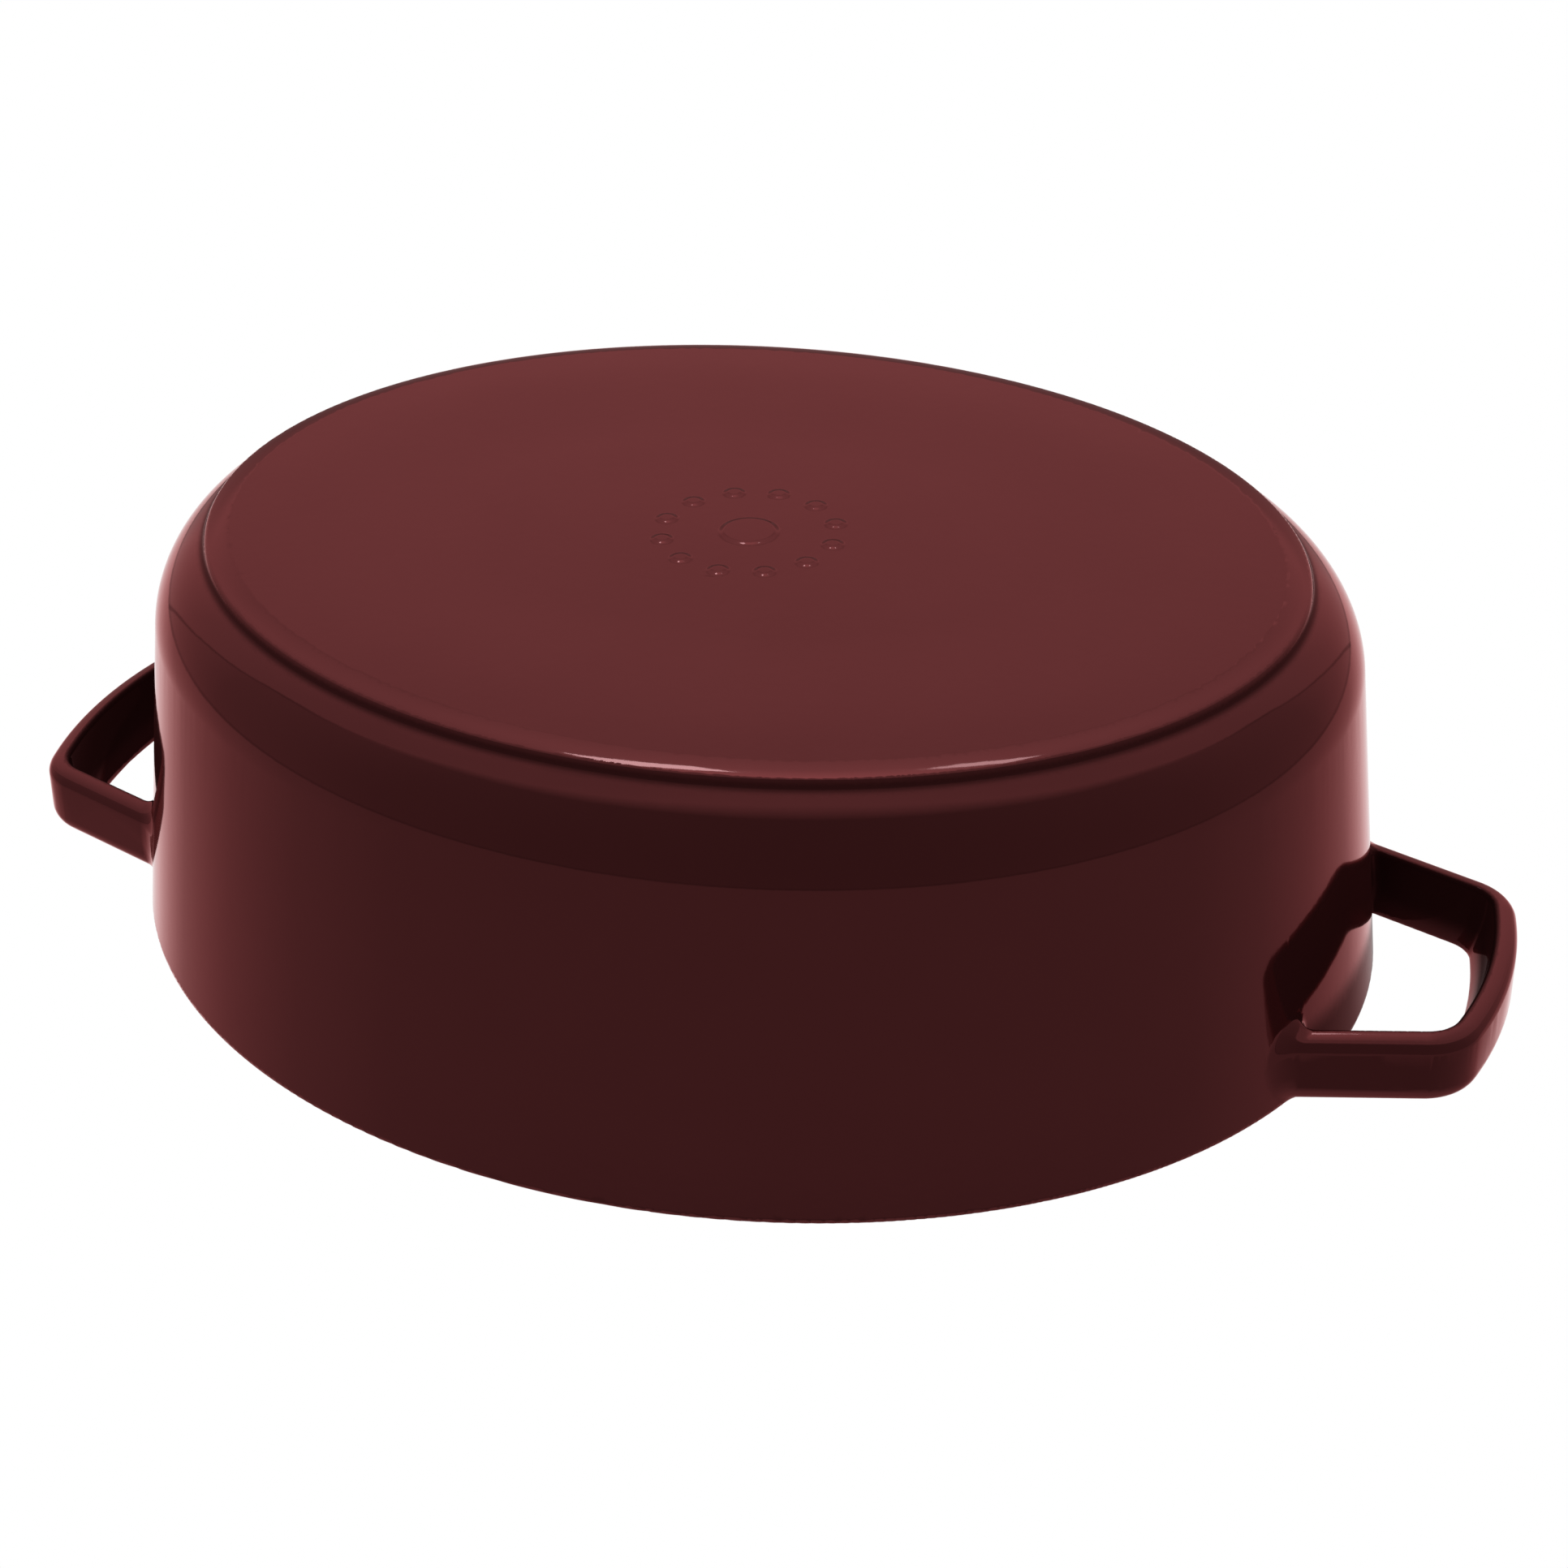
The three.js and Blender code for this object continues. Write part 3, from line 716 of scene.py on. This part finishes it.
def enamel(name, edge):
    """Gloss red enamel, and matt black enamel where cover is less than edge."""
    material, tree, shader = new_material(name)
    cover = add_node(tree, "ShaderNodeAttribute", attribute_name="cover").outputs["Fac"]
    is_red = span(tree, cover, edge - COVER_BLUR, edge + COVER_BLUR, 0, 1)
    red = mix_colour(tree, noise(tree, *RED_CLOUDS), RED, DEEP_RED)
    shade = add_node(tree, "ShaderNodeAttribute", attribute_name="shade").outputs["Fac"]
    # painted shade darkens the red here, and dims the mirroring below
    red = mix_colour(tree, shade, red, PAINTED_SHADE_RED)
    black = mix_colour(tree, noise(tree, *BLACK_SPECKS), BLACK, GREY_BLACK)
    tree.links.new(mix_colour(tree, is_red, black, red), shader.inputs["Base Color"])
    tree.links.new(span(tree, shade, 0, 1, MIRRORED, MIRRORED_IN_SHADE), shader.inputs["Metallic"])
    shader.inputs["Specular IOR Level"].default_value = 0
    shader.inputs["Specular Tint"].default_value = GLANCE_TINT
    gloss = span(tree, noise(tree, *GLOSS_CLOUDS), *NOISE_SPAN, *GLOSS)
    tree.links.new(blend(tree, is_red, MATT, gloss), shader.inputs["Roughness"])
    peel = add_node(tree, "ShaderNodeBump", {
        "Height": noise(tree, *PEEL), "Distance": PEEL_HEIGHT, "Strength": PEEL_STRENGTH})
    grain = add_node(tree, "ShaderNodeBump", {
        "Height": noise(tree, *GRAIN), "Distance": GRAIN_HEIGHT,
        "Strength": span(tree, is_red, 0, 1, GRAIN_STRENGTH, 0), "Normal": peel.outputs["Normal"]})
    tree.links.new(grain.outputs["Normal"], shader.inputs["Normal"])
    return material


def metal(name, colour, roughness, brushed):
    """A turned metal, with fine rings from the lathe."""
    material, tree, shader = new_material(name)
    shader.inputs["Metallic"].default_value = 1
    darker = [METAL_DARKER * c for c in colour[:3]] + [1]
    shade = mix_colour(tree, noise(tree, *METAL_CLOUDS), colour, darker)
    tree.links.new(shade, shader.inputs["Base Color"])
    smears = noise(tree, *METAL_SMEARS)
    rough = span(tree, smears, *NOISE_SPAN, roughness - METAL_SMEAR, roughness + METAL_SMEAR)
    tree.links.new(rough, shader.inputs["Roughness"])
    place = add_node(tree, "ShaderNodeTexCoord").outputs["Object"]
    rings = add_node(tree, "ShaderNodeTexWave", {"Vector": place, **LATHE_RINGS},
                     wave_type="RINGS", rings_direction="Z")
    bump = add_node(tree, "ShaderNodeBump",
                    {"Height": rings.outputs["Fac"], "Distance": LATHE_HEIGHT, "Strength": brushed})
    tree.links.new(bump.outputs["Normal"], shader.inputs["Normal"])
    return material


def dress(piece, node, body, material):
    piece.data.materials.clear()
    piece.data.materials.append(material)
    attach(piece, body)
    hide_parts(node)


nickel = metal("polished_nickel", colour=(0.62, 0.57, 0.50, 1), roughness=0.16, brushed=0.06)
steel = metal("plain_steel", colour=(0.45, 0.45, 0.45, 1), roughness=0.34, brushed=0.15)
dress(pot, "pot", "pot", enamel("pot_enamel_finish", LIP_WIDTH / 2))
dress(lid, "lid", "lid", enamel("lid_enamel_finish", LID_EDGE_HEIGHT / 2))
dress(knob, "knob", "lid", nickel)
dress(screw, "knob_screw", "lid", steel)
dress(washer, "knob_washer", "lid", steel)

# Stage: a floor that only the camera sees, and only from above
FLOOR_DROP = 0.0003
FLOOR_SIZE = 6.0
FLOOR_COLOUR = (0.86, 0.86, 0.86, 1)
FLOOR_ROUGHNESS = 0.9
FLOOR_GLOW = 0.4
FLOOR_FADE = (0.35, 1.1)  # from where to where it fades into the white
WHITE = (1, 1, 1, 1)


def make_floor():
    half = FLOOR_SIZE / 2
    mesh = bpy.data.meshes.new("floor")
    corners = ((-half, -half), (half, -half), (half, half), (-half, half))
    mesh.from_pydata([(x, y, -FLOOR_DROP) for x, y in corners], [], [(0, 1, 2, 3)])
    floor = add_object("floor", mesh)
    for ray in ("diffuse", "glossy", "transmission", "shadow", "volume_scatter"):
        setattr(floor, f"visible_{ray}", False)
    material, tree, shader = new_material("pale_floor")
    shader.inputs["Roughness"].default_value = FLOOR_ROUGHNESS
    shader.inputs["Base Color"].default_value = FLOOR_COLOUR
    shader.inputs["Emission Color"].default_value = WHITE
    shader.inputs["Emission Strength"].default_value = FLOOR_GLOW
    place = add_node(tree, "ShaderNodeTexCoord").outputs["Object"]
    away = add_node(tree, "ShaderNodeVectorMath", {0: place}, operation="LENGTH").outputs["Value"]
    fade = span(tree, away, *FLOOR_FADE, 0, 1)
    behind = add_node(tree, "ShaderNodeNewGeometry").outputs["Backfacing"]
    hidden = calc(tree, "MAXIMUM", fade, behind)
    clear = add_node(tree, "ShaderNodeBsdfTransparent").outputs["BSDF"]
    mixed = add_node(tree, "ShaderNodeMixShader", {0: hidden, 1: shader.outputs["BSDF"], 2: clear})
    tree.links.new(mixed.outputs["Shader"], tree.nodes["Material Output"].inputs["Surface"])
    mesh.materials.append(material)


make_floor()

# Camera: below the pot and turned over, with the lens shifted as the photograph is cropped
CAMERA_AT = Vector((-0.2885, -0.7755, -0.4199))
CAMERA_AIM = Vector((0, 0, 0.0404))
CAMERA_ROLL = math.pi - 0.0105
CAMERA_SENSOR = 36
CAMERA_LENS = 75.18
CAMERA_SHIFT = (0.0214, -0.0827)
CAMERA_CLIP = (0.01, 100)

camera = bpy.data.objects.new("camera", bpy.data.cameras.new("camera"))
bpy.context.scene.collection.objects.link(camera)
turn = (CAMERA_AIM - CAMERA_AT).to_track_quat("-Z", "Y").to_matrix().to_4x4()
camera.matrix_world = Matrix.Translation(CAMERA_AT) @ turn @ Matrix.Rotation(CAMERA_ROLL, 4, "Z")
camera.data.sensor_width = CAMERA_SENSOR
camera.data.lens = CAMERA_LENS
camera.data.shift_x, camera.data.shift_y = CAMERA_SHIFT
camera.data.clip_start, camera.data.clip_end = CAMERA_CLIP
bpy.context.scene.camera = camera

# Light: two small lamps for the streaks on the foot's edge, a soft box for the lid, and a studio that the
# object mirrors; the camera sees white round it. Places are given as the photograph has them, with -Z up.
FRONT = Vector((CAMERA_AT.x, CAMERA_AT.y, 0)).normalized()
ASIDE = Vector((-FRONT.y, FRONT.x, 0))
DOWN = Vector((0, 0, 1))
# Name, bearing from the camera and height in degrees, distance, size, power, whether it is mirrored, colour
BOXES = (
    ("left_spark", 156, 67, 1.6, (0.27, 0.14), 1.2, True, (0.40, 1, 1)),
    ("right_spark", -151, 65, 1.6, (0.20, 0.11), 0.48, True, (0.40, 1, 1)),
    ("lid_box", 150, -75, 1.7, (1.4, 1.4), 14, False, (1, 1, 1)),
)
AMBIENT = 0.25


def make_lights():
    for name, bearing, height, distance, size, power, mirrored, colour in BOXES:
        turn, lift = math.radians(bearing), math.radians(height)
        way = math.cos(lift) * (math.cos(turn) * FRONT + math.sin(turn) * ASIDE) - math.sin(lift) * DOWN
        light = bpy.data.lights.new(name, "AREA")
        light.shape = "RECTANGLE"
        light.size, light.size_y = size
        light.energy = power
        light.color = colour
        obj = bpy.data.objects.new(name, light)
        obj.location = CAMERA_AIM + distance * way
        obj.rotation_euler = way.to_track_quat("Z", "Y").to_euler()
        obj.visible_camera = False
        obj.visible_glossy = mirrored
        bpy.context.scene.collection.objects.link(obj)


def ramp(tree, value, stops):
    """A level that runs straight from stop to stop; stops are (value, level)."""
    node = add_node(tree, "ShaderNodeValToRGB", {"Fac": value})
    elements = node.color_ramp.elements
    while len(elements) < len(stops):
        elements.new(0.5)
    for element, (place, level) in zip(elements, stops):
        element.position = place
        element.color = (level, level, level, 1)
    return node.outputs["Color"]


# Brightness of the studio round the object, from the camera's side at 0 to straight behind at 1
FLOOR_LIGHT = (
    (0, 0.285), (0.33, 0.322), (0.5, 0.42), (0.67, 0.62), (0.82, 0.88), (0.935, 1.55), (1, 1.39))
WALL_LIGHT = (
    (0, 0.160), (0.33, 0.221), (0.5, 0.307), (0.67, 0.395), (0.82, 0.67), (0.935, 0.96), (1, 0.58))
CEILING_LIGHT = (
    (0, 0.603), (0.33, 0.55), (0.5, 0.55), (0.67, 0.60), (0.82, 0.70), (0.935, 1.0), (1, 1.12))

# Height of the ceiling's edge in the same turn, lifted by EDGE_DROP because it ends below the horizon
EDGE_DROP = 0.2
CEILING_EDGE = (
    (0, 1.11), (0.1, 1.08), (0.19, 1.04), (0.39, 0.94), (0.54, 0.81), (0.62, 0.74), (0.66, 0.68),
    (0.69, 0.60), (0.76, 0.42), (0.845, 0.16), (0.89, 0))
EDGE_BLUR_TURN = (0.2, 0.6)
EDGE_BLUR = (0.05, 0.012)
CORNICE_TURN = (0.4, 0.65)
CORNICE_LINE = (0.006, 0.018)
CORNICE_LIGHT = 0.55

# Brightness straight behind, by height
BACK_TURN = (0.93, 0.985)
BACK_LIGHT = (
    (0, 0.30), (0.14, 0.34), (0.30, 0.56), (0.375, 0.93), (0.454, 0.80), (0.53, 0.67), (0.61, 0.76),
    (0.72, 0.90), (0.86, 1.1), (0.95, 1.6))

# Foot of the walls, and the floor, which darkens near the camera and evens out below
SKIRTING_HEIGHT = -0.145
SKIRTING_LINE = (0.008, 0.022)
SKIRTING_LIGHT = 0.75
HORIZON = (-0.158, -0.168)
NEAR_FLOOR = (-0.44, -0.50)
NEAR_FLOOR_TURN = (0, 0.35)
NEAR_FLOOR_LIGHT = 0.6
LOWEST_FLOOR = (-0.6, -0.85)
LOWEST_FLOOR_LIGHT = 0.5
POLE_GUARD = 1.0001


def make_world():
    """What the object mirrors: a ceiling with a crisp edge, walls and a floor, which brighten behind it."""
    world = bpy.data.worlds.new("studio")
    world.use_nodes = True
    bpy.context.scene.world = world
    tree = world.node_tree
    way = add_node(tree, "ShaderNodeTexCoord").outputs["Generated"]
    facing = add_node(tree, "ShaderNodeVectorMath", {0: way, 1: FRONT}, operation="DOT_PRODUCT")
    height = calc(tree, "MULTIPLY", add_node(tree, "ShaderNodeSeparateXYZ", {0: way}).outputs["Z"], -1)
    level = calc(tree, "SQRT", calc(tree, "SUBTRACT", POLE_GUARD, calc(tree, "MULTIPLY", height, height)))
    behind = span(tree, calc(tree, "DIVIDE", facing.outputs["Value"], level), 1, -1, 0, 1)
    above = calc(tree, "SUBTRACT", calc(tree, "ADD", height, EDGE_DROP), ramp(tree, behind, CEILING_EDGE))
    blur = span(tree, behind, *EDGE_BLUR_TURN, *EDGE_BLUR)
    in_ceiling = span(tree, calc(tree, "DIVIDE", above, blur), -1, 1, 0, 1)
    room = blend(tree, in_ceiling, ramp(tree, behind, WALL_LIGHT), ramp(tree, behind, CEILING_LIGHT))
    tall = blend(tree, span(tree, behind, *BACK_TURN, 0, 1), 1.0, ramp(tree, height, BACK_LIGHT))
    from_skirting = calc(tree, "ABSOLUTE", calc(tree, "SUBTRACT", height, SKIRTING_HEIGHT))
    skirting = span(tree, from_skirting, *SKIRTING_LINE, SKIRTING_LIGHT, 1)
    cornice = span(tree, calc(tree, "ABSOLUTE", above), *CORNICE_LINE, CORNICE_LIGHT, 1)
    cornice = blend(tree, span(tree, behind, *CORNICE_TURN, 0, 1), 1.0, cornice)
    for shading in (tall, skirting, cornice):
        room = calc(tree, "MULTIPLY", room, shading)
    shaded = span(tree, behind, *NEAR_FLOOR_TURN, NEAR_FLOOR_LIGHT, 1)
    shaded = blend(tree, span(tree, height, *NEAR_FLOOR, 0, 1), 1.0, shaded)
    floor = calc(tree, "MULTIPLY", ramp(tree, behind, FLOOR_LIGHT), shaded)
    floor = blend(tree, span(tree, height, *LOWEST_FLOOR, 0, 1), floor, LOWEST_FLOOR_LIGHT)
    mirrored = blend(tree, span(tree, height, *HORIZON, 0, 1), room, floor)
    rays = add_node(tree, "ShaderNodeLightPath").outputs
    strength = blend(tree, rays["Is Glossy Ray"], AMBIENT, mirrored)
    strength = blend(tree, rays["Is Camera Ray"], strength, 1.0)
    studio = add_node(tree, "ShaderNodeBackground", {"Color": WHITE, "Strength": strength})
    tree.links.new(studio.outputs["Background"], tree.nodes["World Output"].inputs["Surface"])


make_lights()
make_world()
bpy.context.scene.view_settings.view_transform = "Standard"
